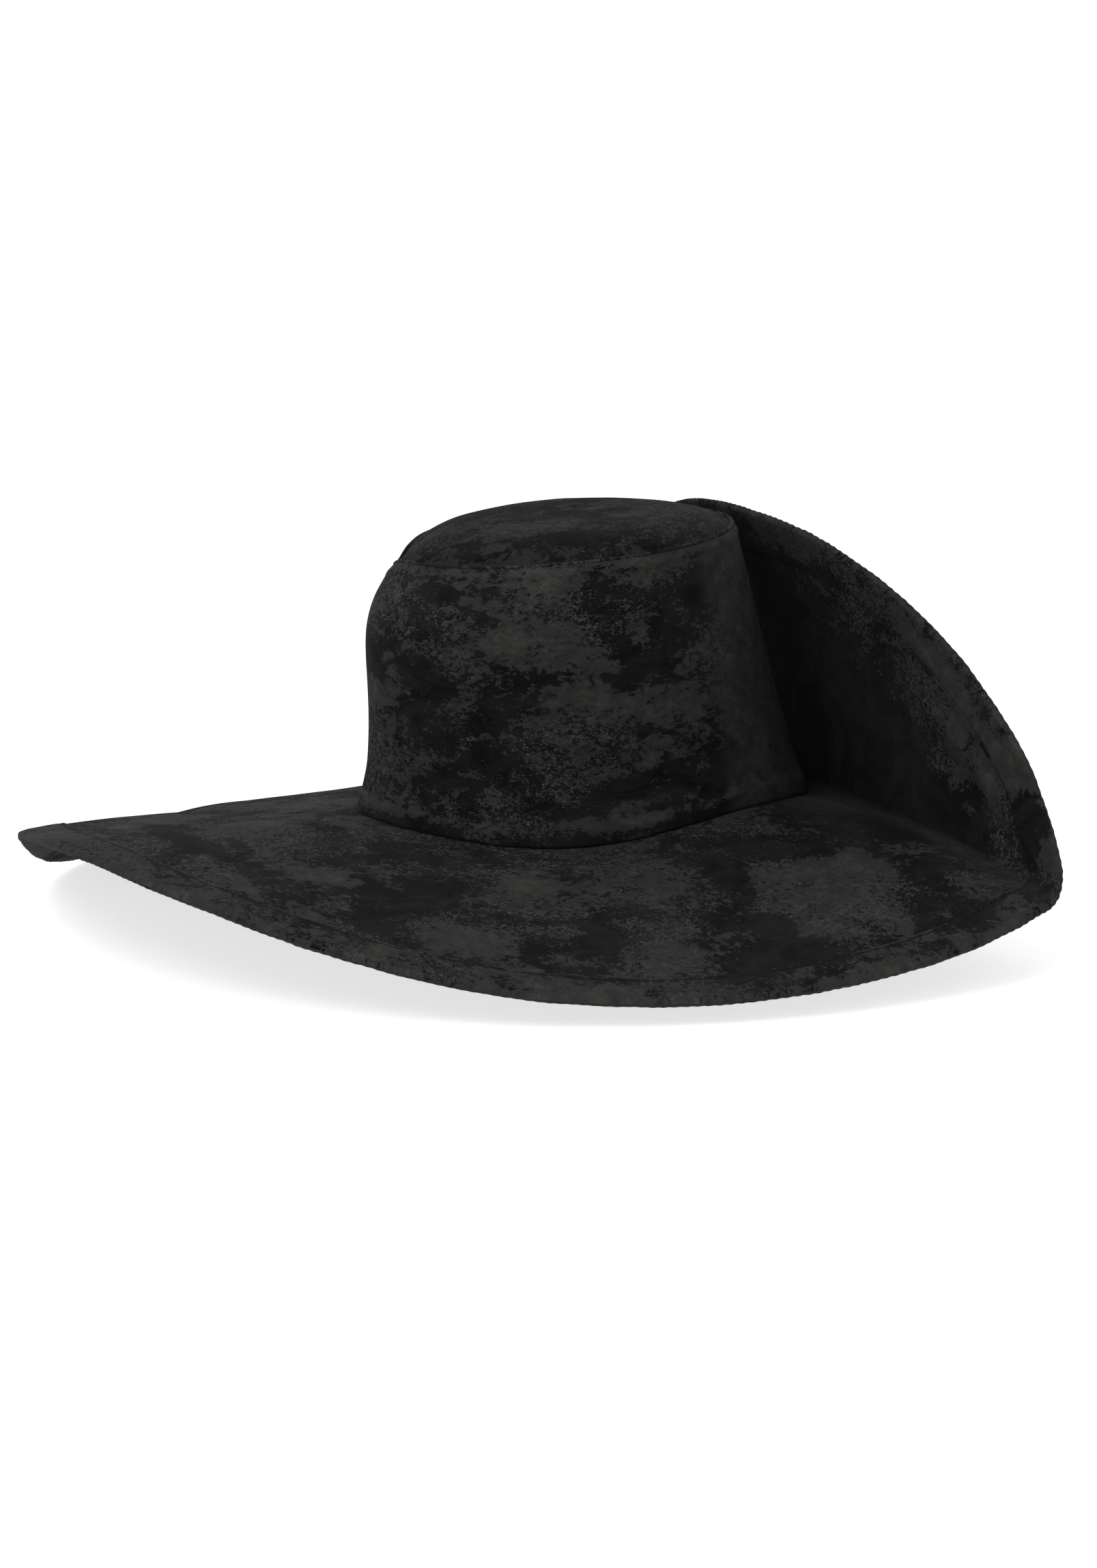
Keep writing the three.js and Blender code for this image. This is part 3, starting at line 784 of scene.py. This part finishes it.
def brim_sheet(name, material, low, high, columns, upper=True, worn=False):
    """A layer of the brim and flap, with its flat size and flat area."""
    x, y = polar_pattern(ANGLES, BRIM_INNER_DEPTH, PANEL_INSET, columns)
    outer, inner = brim_face(x, y, high), brim_face(x, y, low)
    if not upper:
        outer, inner = inner, outer
    flat = np.stack([x, y, np.full_like(x, 0.05 if upper else -0.05)], -1)
    tone = brim_wear_and_painted_light(x, y) if worn else np.zeros(x.shape + (2,))
    obj = ring_solid(
        name,
        sheet_sections(outer, inner),
        material=material,
        pattern=like_sections(flat, flat),
        tone=like_sections(tone, tone),
    )
    return obj, (np.ptp(x), np.ptp(y)), pattern_area(x, y)


HEM_SUEDE = 0.6 * MM
PUCKER_PITCH = 4.6 * MM
PUCKER_OUT = 0.17 * MM
PUCKER_UP = 0.08 * MM
CRIMP_OUT = 0.2 * MM
CRIMP_UP = 0.16 * MM
HEM_AREA_SHARE = 0.96
STITCH_INSET = 19.4 * MM
STITCH_PITCH = 3.4 * MM
STITCH_LENGTH = 2.4 * MM
STITCH_RADIUS = 0.15 * MM
STITCH_RISE = 0.12 * MM
STITCH_SIDES = 6


def hem_profile():
    """Distance in from the rim and height over the brim's middle, round the outside of the hem."""
    rows = [
        (HEM_DEPTH, PANEL_HIGH + 0.06 * MM),
        (HEM_DEPTH - 0.35 * MM, HEM_HIGH - 0.2 * MM),
        (HEM_DEPTH - 0.9 * MM, HEM_HIGH - 0.02 * MM),
        (HEM_DEPTH - 1.7 * MM, HEM_HIGH - 0.06 * MM),
        (STITCH_INSET, HEM_HIGH - 0.25 * MM),
        (STITCH_INSET - 0.8 * MM, HEM_HIGH - 0.05 * MM),
    ]
    for inset in np.linspace(16.5, 5.2, 9):
        rows.append((inset * MM, HEM_HIGH - 0.12 * MM * bell(inset, 8.5, 3.5)))
    rows.append((3.2 * MM, HEM_HIGH - 0.25 * MM))
    for turn in np.radians(np.linspace(90, 0, 7))[:-1]:
        rows.append((HEM_EDGE * (1 - math.cos(turn)), HEM_EDGE * math.sin(turn)))
    rows.append((0.0, 0.0))
    return np.array(rows)


def hem_sections(angles):
    """Pattern x and y and height of the hem's closed sections, and the rows that they repeat."""
    top = hem_profile()
    outer = np.concatenate([top, top[:-1][::-1] * [1, -1]])
    shrink = np.array([[inset + HEM_SUEDE, max(height - HEM_SUEDE, 0.0)] for inset, height in top])
    shrink[:, 0] = np.minimum(shrink[:, 0], HEM_DEPTH)
    shrink[0] = (HEM_DEPTH, PANEL_HIGH + 0.03 * MM)
    shrink[1:, 1] = np.clip(shrink[1:, 1], 0, HEM_LOW)
    inner = np.concatenate([shrink, shrink[:-1][::-1] * [1, -1]])
    rows = np.concatenate([outer, inner[::-1]])
    inset, height = rows[:, 0], rows[:, 1]

    ring = outwards(angles) * RIM_RADIUS
    drift = lattice_noise(ring, 30 * MM, 2, 21)
    strength = 0.75 + 0.5 * lattice_noise(ring, 40 * MM, 2, 22)
    puckers = TURN * np.arange(len(angles)) / len(angles) * round(rim_length() / PUCKER_PITCH)
    wave = (np.sin(puckers + 2.2 * drift) * strength)[:, None]
    crimp = lattice_noise(ring, 9 * MM, 2, 23)[:, None]
    near = smooth(1 - inset / (17 * MM))
    out = (wave * PUCKER_OUT + crimp * CRIMP_OUT) * near
    off_edge = np.sign(height) * smooth(np.abs(height) / (1.5 * MM))
    off_seam = smooth((HEM_DEPTH - inset) / (4 * MM))
    up = (wave * PUCKER_UP + crimp * CRIMP_UP) * off_edge * off_seam * (0.35 + 0.65 * near)
    radius = (rim_radius(angles) + unevenness(angles))[:, None] - inset + out
    x, y = radius * np.cos(angles)[:, None], radius * np.sin(angles)[:, None]
    return x, y, height + up, rows


def make_hem(material):
    """The folded hem, lighter at its edge from wear and a painted highlight, and with painted shade in
    its stitch groove.
    """
    x, y, height, rows = hem_sections(HEM_ANGLES)
    over = np.where(rows[:, 1] >= 0, 0.02, -0.07)
    flat = np.stack([x, y, np.broadcast_to(over, x.shape)], -1)
    tone = brim_wear_and_painted_light(x, y)
    groove_shade = bell(rows[:, 0], STITCH_INSET, 0.7 * MM)
    edge = bell(rows[:, 0], 0, 3 * MM)
    # Painted highlight along the rim edge, together with the edge's wear; painted shade in the stitch
    # groove; the hem a little lighter off the flap
    tone[..., 0] += 0.12 * edge - 0.3 * groove_shade + 0.09 * smooth((FOLD_BACK - y) / (30 * MM))
    points = brim_face(x, y, height)
    obj = ring_solid("brim_hem", points, material=material, pattern=flat, tone=tone)
    width = 2 * HEM_DEPTH + 3 * MM
    return obj, (width, rim_length()), width * rim_length() * HEM_AREA_SHARE


def hem_stitches(name, side, material):
    """Raised thread stitches round the hem, on its upper (1) or under (-1) side."""

    def place(share):
        x, y = pattern_xy(share * TURN, STITCH_INSET)
        height = np.full_like(x, (HEM_HIGH - 0.3 * MM) * side)
        return brim_face(x, y, height), brim_normal(x, y) * side

    count = round(rim_length() / STITCH_PITCH)
    share = np.arange(count) / count
    here, out = place(share)
    along = place(share + 0.25 / count)[0] - here
    along /= np.linalg.norm(along, axis=1, keepdims=True)
    across = np.cross(along, out)
    turn = np.arange(STITCH_SIDES) / STITCH_SIDES * TURN
    ring = across[:, None] * np.cos(turn)[:, None] + out[:, None] * np.sin(turn)[:, None]
    steps = np.linspace(-STITCH_LENGTH / 2, STITCH_LENGTH / 2, 5)
    rises = np.array([-0.25, 0.75, 1.0, 0.75, -0.25]) * STITCH_RISE
    radii = np.array([0.75, 1, 1, 1, 0.75]) * STITCH_RADIUS
    quads = grid_quads(len(steps), STITCH_SIDES, False, True)
    each = len(steps) * STITCH_SIDES
    verts, faces, caps = [], [], []
    for i in range(count):
        for step, rise, radius in zip(steps, rises, radii):
            verts.extend(here[i] + along[i] * step + out[i] * rise + ring[i] * radius)
        first = i * each
        faces.extend(quads + first)
        caps.append(list(range(first, first + STITCH_SIDES)))
        caps.append(list(range(first + each - STITCH_SIDES, first + each))[::-1])
    return make_mesh(name, np.array(verts), faces, polygons=caps, material=material)


# ---------------------------------------------------------------- crown

CROWN_COLUMNS = 540
CROWN_ANGLES = np.arange(CROWN_COLUMNS) / CROWN_COLUMNS * TURN

# Tone of the side band: angle in degrees, height share, half width, half height, strength
CROWN_TONES = [
    (-29, 0.78, 11, 0.20, 0.14),
    (-32, 0.42, 16, 0.16, 0.12),
    (-12, 0.48, 13, 0.09, 0.16),
    (-14, 0.30, 14, 0.08, 0.14),
    (-3, 0.74, 6, 0.07, 0.16),
    (4, 0.94, 10, 0.05, 0.12),
    (-30, 0.94, 10, 0.05, 0.14),
    (14, 0.44, 8, 0.10, 0.08),
    (36, 0.70, 18, 0.25, -0.02),
    (-88, 0.40, 10, 0.30, 0.10),
    (2, 0.68, 15, 0.10, -0.26),
    (8, 0.85, 16, 0.08, -0.24),
    (-14, 0.86, 9, 0.10, -0.20),
    (-12, 0.20, 18, 0.05, -0.20),
    (-62, 0.26, 12, 0.20, -0.20),
    (-46, 0.40, 8, 0.14, -0.18),
    (-72, 0.62, 9, 0.20, -0.12),
    (-50, 0.88, 14, 0.10, -0.06),
    (10, 0.18, 12, 0.12, -0.16),
    (26, 0.20, 10, 0.14, -0.20),
    (20, 0.84, 6, 0.12, -0.18),
    (0, 0.06, 100, 0.07, 0.05),
]

# Tone of the top panel, in millimetres from its centre
TIP_TONES = [
    (56, -30, 20, 12, 40, -0.30),
    (20, -40, 26, 14, 0, 0.16),
    (66, 10, 12, 26, 10, 0.10),
    (-10, -20, 30, 30, 0, -0.12),
]


def crown_tone(angle, t):
    """Tone of the side band, and how smooth it is: the band is even on its right and back."""
    total = np.zeros(np.broadcast(angle, t).shape)
    degrees = (np.degrees(angle) + 180) % 360 - 180
    for centre, height, wide, tall, strength in CROWN_TONES:
        u, v = (degrees - centre) / wide, (t - height) / tall
        total += strength * np.exp(-((u * u + v * v) ** 1.2))
    # Painted highlight on the seam-allowance ridge above the brim, painted shade in the strip below it
    # where the side meets the brim, and a painted highlight along the band's top edge at the seam
    total += 0.13 * bell(t, 0.083, 0.02) - 0.22 * (1 - smooth((t - 0.035) / 0.03))
    total += 0.16 * smooth((t - 0.965) / 0.02)
    calm = 0.72 * smooth((degrees - 17) / 12) * smooth((100 - degrees) / 20)
    return np.stack([total, calm * np.ones_like(total)], axis=-1)


def crown_relief(angle, t, point):
    """Soft dents in the side, and the ridge of the seam allowance above the brim."""
    ends = smooth(t / 0.12) * smooth((1 - t) / 0.1)
    height = t * CROWN_HEIGHT
    ridge = 0.45 * MM * bell(height, 9.5 * MM, 1.6 * MM)
    allowance = 0.35 * MM * (1 - smooth((height - 7.5 * MM) / (3 * MM)))
    tuck = -1.3 * MM * (1 - smooth(height / (2.6 * MM)))
    flare = BASE_FLARE * (1 - smooth(t / 0.22))
    return bumps(point, CROWN_BUMPS, 31) * ends + ridge + allowance + tuck + flare


def crown_faces(a, t, depth, thick, reliefs):
    """The two faces of a layer of the side. Each relief gives how far it stands out."""
    faces = []
    for level in (depth, depth + thick):
        point = crown_point(a, t, level)
        amount = sum(relief(a, t, point) for relief in reliefs)
        faces.append(point + outwards(a) * amount[..., None])
    return faces


def crown_sheet(name, material, depth, thick, low, high, rows, reliefs, worn=False, ribbed=False):
    """A layer of the side between two height shares, as a ring. Ribs run up a ribbed one."""
    a, t = np.meshgrid(CROWN_ANGLES, low + (high - low) * np.linspace(0, 1, rows), indexing="ij")
    faces = crown_faces(a, t, depth, thick, reliefs)
    tone = crown_tone(a, t) if worn else np.zeros(a.shape + (2,))
    flat = crown_point(a, t, 0.0)
    if ribbed:
        flat = np.stack([t * CROWN_HEIGHT, np.zeros_like(a), a * HEAD_HALF_LENGTH], axis=-1)
    return ring_solid(
        name,
        sheet_sections(*faces),
        material=material,
        pattern=like_sections(flat, flat),
        tone=like_sections(tone, tone),
    )


def back_strip(name, material, half_width, depth, thick, low, high, rows, reliefs):
    """A strip of cloth up the inside of the crown's back."""
    across = math.pi / 2 + np.linspace(-1, 1, 9) * half_width / HEAD_HALF_LENGTH
    a, t = np.meshgrid(across, np.linspace(low, high, rows), indexing="ij")
    faces = crown_faces(a, t, depth, thick, reliefs)
    return strip_solid(name, sheet_sections(*faces), material=material)


def side_roll(angle, t, point):
    """The band's top edge stands out as a lip, and turns in over the seam."""
    near = np.clip((t - 0.9) / 0.1, 0, 1)
    return 0.7 * MM * bell(t, 0.975, 0.016) - 0.4 * MM * near**3


def lining_folds(angle, t, point):
    """The loose lining's shallow upright folds, which fade at the sweatband and the top."""
    folds = np.sin(angle * 23 + 2.0 * np.sin(angle * 5)) * 0.5 + lattice_noise(point, 22 * MM, 2, 61)
    return -0.495 * MM * (folds + 1.1) * smooth((t - 0.2) / 0.2) * smooth((1 - t) / 0.15)


def band_roll(angle, t, point):
    """The sweatband's lower edge turns out, and it bellies a little where it isn't sewn."""
    ring_wave = lattice_noise(point, 35 * MM, 2, 71) * 0.3 * MM
    return 0.4 * MM * (1 - smooth(t / 0.04)) + ring_wave * smooth(t / 0.08)


def no_relief(angle, t, point):
    return np.zeros_like(angle)


def tip_sheet(name, material, depth, drop, thick, rows, edge_roll=0.0, worn=False):
    """A layer of the top panel, as a closed disc."""
    a, share = np.meshgrid(CROWN_ANGLES, np.linspace(0.02, 1, rows) ** 0.8, indexing="ij")
    faces = []
    for under in (0.0, thick):
        point = tip_point(a, share, depth, -drop - under)
        point[..., 2] += bumps(point, TIP_BUMPS, 41) * smooth((1 - share) / 0.12)
        point[..., 2] += edge_roll * smooth((share - 0.93) / 0.07)
        faces.append(point)
    tone = np.zeros(a.shape + (2,))
    if worn:
        tone[..., 0] = blots(faces[0][..., 0], faces[0][..., 1], TIP_TONES)
        # Painted highlight along the panel's rim at the top seam
        tone[..., 0] += 0.15 * smooth((share - 0.95) / 0.04)
    flat = tip_point(a, share) + [0.4, 0.3, 0]
    pattern, tone = (np.concatenate([one, one[:, ::-1]], axis=1) for one in (flat, tone))
    return disc_solid(name, *faces, material=material, pattern=pattern, tone=tone)


def seam_bead(name, material):
    """The raised seam round the top."""
    path = tip_point(CROWN_ANGLES, np.ones(CROWN_COLUMNS), 1.4 * MM, 0.3 * MM)
    uneven = lattice_noise(outwards(CROWN_ANGLES) * 80 * MM, 12 * MM, 2, 51)
    return tube(name, path, 1.05 * MM + uneven * 0.15 * MM, sides=12, material=material)


# ---------------------------------------------------------------- build

SUEDE_TOP = suede("suede_brim_top", shift=(0.0, 0.0, 0.0))
SUEDE_UNDER = suede("suede_brim_under", shift=(3.1, 1.7, 0.0))
SUEDE_SIDE = suede("suede_crown_side", shift=(5.3, 0.9, 0.4), stretch=(0.8, 0.8, 1.45))
# The top panel uses a darker copy of the suede: painted shade on the upward-facing top
SUEDE_TIP = suede("suede_crown_tip", shift=(7.7, 2.3, 1.1), shade=0.62)
THREAD = thread("black_thread")
INTERLINING = interlining("nonwoven_interlining")
SATIN = satin("black_satin")
LABEL_SATIN = satin("label_satin", light=True)
GROSGRAIN = grosgrain("black_grosgrain")
STEEL = steel("drawn_wire")

SLEEVE_LENGTH = 12 * MM
SLEEVE_RADIUS = 1.35 * MM
CRIMP_DEPTH = 0.3 * MM


def bend(obj, slot, *nodes):
    """A piece that runs through the fold: its CAD parts are hidden and its transform is baked into its
    mesh.
    """
    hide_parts(*nodes)
    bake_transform(obj)


def rider(obj, body, slot, *nodes):
    """A piece that moves with one body."""
    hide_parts(*nodes)
    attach(obj, body)


def build_brim():
    brim_top, flat, area = brim_sheet(
        "brim_upper_suede", SUEDE_TOP, PANEL_LOW, PANEL_HIGH, 96, worn=True
    )
    bend(brim_top, "suede", "brim_top_panel", "flap_top_panel")

    brim_under, flat, area = brim_sheet(
        "brim_under_suede", SUEDE_UNDER, -PANEL_HIGH, -PANEL_LOW, 96, upper=False
    )
    bend(brim_under, "suede", "brim_under_panel", "flap_under_panel")

    stiffener, flat, area = brim_sheet(
        "brim_stiffener", INTERLINING, -STIFFENER_HALF, STIFFENER_HALF, 48
    )
    bend(stiffener, "stiffener", "brim_interlining", "flap_interlining")


def build_rim():
    hem, flat, area = make_hem(SUEDE_TOP)
    stitches = [
        hem_stitches("hem_stitches_upper", 1, THREAD),
        hem_stitches("hem_stitches_under", -1, THREAD),
    ]
    bend(hem, "suede", "brim_edge_hem", "flap_edge_hem")
    for row in stitches:
        bend(row, "suede")

    x, y = pattern_xy(ANGLES, WIRE_INSET)
    wire = tube("brim_wire", brim_face(x, y, np.zeros_like(x)), WIRE_RADIUS, material=STEEL)
    bend(wire, "wire", "brim_edge_wire", "flap_edge_wire_left", "flap_edge_wire_right")

    share = np.linspace(-0.5, 0.5, 41)
    x, y = pattern_xy(math.pi / 2 + share * SLEEVE_LENGTH / RIM_RADIUS, WIRE_INSET)
    sleeve = tube(
        "wire_sleeve",
        brim_face(x, y, np.zeros_like(x)),
        SLEEVE_RADIUS - CRIMP_DEPTH * bell(np.abs(share), 0.22, 0.06),
        sides=16,
        closed=False,
        material=STEEL,
    )
    rider(sleeve, "back_flap", "wire", "wire_joiner_sleeve")


def build_crown_side():
    side = crown_sheet(
        "crown_side_suede",
        SUEDE_SIDE,
        depth=0.0,
        thick=SUEDE,
        low=0.019,
        high=1.0,
        rows=90,
        reliefs=[crown_relief, side_roll],
        worn=True,
    )
    rider(side, "hat", "suede", "crown_side_band")

    stiffener = crown_sheet(
        "crown_side_stiffener",
        INTERLINING,
        depth=CROWN_STIFFENER_DEPTH,
        thick=CROWN_STIFFENER,
        low=0.03,
        high=0.972,
        rows=40,
        reliefs=[crown_relief],
    )
    rider(stiffener, "hat", "stiffener", "crown_side_interlining")

    lining = crown_sheet(
        "crown_side_lining_satin",
        SATIN,
        depth=LINING_DEPTH,
        thick=LINING,
        low=0.03,
        high=0.965,
        rows=60,
        reliefs=[crown_relief, lining_folds],
    )
    rider(lining, "hat", "lining", "crown_side_lining")


def build_crown_top():
    tip = tip_sheet(
        "crown_tip_suede", SUEDE_TIP, 1.2 * MM, 0.0, SUEDE, 60, edge_roll=-0.7 * MM, worn=True
    )
    rider(tip, "hat", "suede", "crown_tip_panel")

    rider(seam_bead("crown_top_seam", SUEDE_SIDE), "hat", "suede", "crown_seam_welt")

    stiffener = tip_sheet(
        "crown_tip_stiffener", INTERLINING, 3.4 * MM, 1.6 * MM, CROWN_STIFFENER, 30
    )
    rider(stiffener, "hat", "stiffener", "crown_tip_interlining")

    lining = tip_sheet("crown_tip_lining_satin", SATIN, 5.2 * MM, 3.9 * MM, LINING, 40)
    rider(lining, "hat", "lining", "crown_tip_lining")


def build_head_opening():
    sweatband = crown_sheet(
        "sweatband_grosgrain",
        GROSGRAIN,
        depth=SWEATBAND_DEPTH,
        thick=SWEATBAND,
        low=0.02,
        high=0.275,
        rows=26,
        reliefs=[band_roll],
        ribbed=True,
    )
    rider(sweatband, "hat", "tape", "sweatband")

    tape = back_strip(
        "back_seam_tape",
        GROSGRAIN,
        half_width=7 * MM,
        depth=TAPE_DEPTH,
        thick=TAPE,
        low=0.05,
        high=0.94,
        rows=40,
        reliefs=[crown_relief],
    )
    rider(tape, "hat", "tape", "crown_back_seam_tape")

    label = back_strip(
        "size_label_satin",
        LABEL_SATIN,
        half_width=16 * MM,
        depth=LABEL_DEPTH,
        thick=LABEL,
        low=0.30,
        high=0.47,
        rows=16,
        reliefs=[no_relief],
    )
    rider(label, "hat", "label", "size_label")


build_brim()
build_rim()
build_crown_side()
build_crown_top()
build_head_opening()

# ---------------------------------------------------------------- stage

AZIMUTH = math.radians(63.647)
ELEVATION = math.radians(10.238)
ROLL = math.radians(0.77)
DISTANCE = 2.1645
LENS = 108.07
SENSOR = 36.0
SHIFT_RIGHT = -0.02259
SHIFT_UP = 0.0098

FLOOR_SIZE = 400
FLOOR_GAP = 0.6 * MM

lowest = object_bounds()[0].z
bpy.ops.mesh.primitive_plane_add(size=FLOOR_SIZE, location=(0, 0, lowest - FLOOR_GAP))
floor = bpy.context.object
floor.name = "floor"
paper = bpy.data.materials.new("pale_floor")
paper.use_nodes = True
paper_look = paper.node_tree.nodes["Principled BSDF"].inputs
paper_look["Base Color"].default_value = (0.5, 0.5, 0.5, 1)
paper_look["Roughness"].default_value = 0.9
paper_look["Specular IOR Level"].default_value = 0.0
paper_look["Emission Color"].default_value = (1, 1, 1, 1)
paper_look["Emission Strength"].default_value = 0.72
floor.data.materials.append(paper)

world = bpy.data.worlds.new("studio")
bpy.context.scene.world = world
world.use_nodes = True
world.node_tree.nodes["Background"].inputs["Color"].default_value = (1, 1, 1, 1)
world.node_tree.nodes["Background"].inputs["Strength"].default_value = 0.86


def area_light(name, place, aim, size, power):
    data = bpy.data.lights.new(name, "AREA")
    data.shape = "DISK"
    data.size = size
    data.energy = power
    lamp = bpy.data.objects.new(name, data)
    bpy.context.scene.collection.objects.link(lamp)
    lamp.location = place
    lamp.rotation_mode = "QUATERNION"
    lamp.rotation_quaternion = (Vector(aim) - Vector(place)).to_track_quat("-Z", "Y")
    return lamp


area_light("key", (0.9, -1.6, 2.0), (0, 0, 0.03), 1.4, 22)
area_light("rim", (-1.2, -0.6, 1.6), (0, 0, 0.1), 1.0, 8)

level_back = Vector((math.sin(AZIMUTH), -math.cos(AZIMUTH), 0))
back = level_back * math.cos(ELEVATION) + Vector((0, 0, math.sin(ELEVATION)))
right = Vector((math.cos(AZIMUTH), math.sin(AZIMUTH), 0))
up = back.cross(right)
right, up = right * math.cos(ROLL) - up * math.sin(ROLL), right * math.sin(ROLL) + up * math.cos(ROLL)
camera_data = bpy.data.cameras.new("camera")
camera_data.lens = LENS
camera_data.sensor_width = SENSOR
camera_data.shift_x = SHIFT_RIGHT
camera_data.shift_y = SHIFT_UP
camera_data.clip_end = 1000
camera = bpy.data.objects.new("camera", camera_data)
bpy.context.scene.collection.objects.link(camera)
turned = Matrix((right, up, back)).transposed().to_4x4()
camera.matrix_world = Matrix.Translation(back * DISTANCE) @ turned
bpy.context.scene.camera = camera
bpy.context.scene.view_settings.view_transform = "Standard"
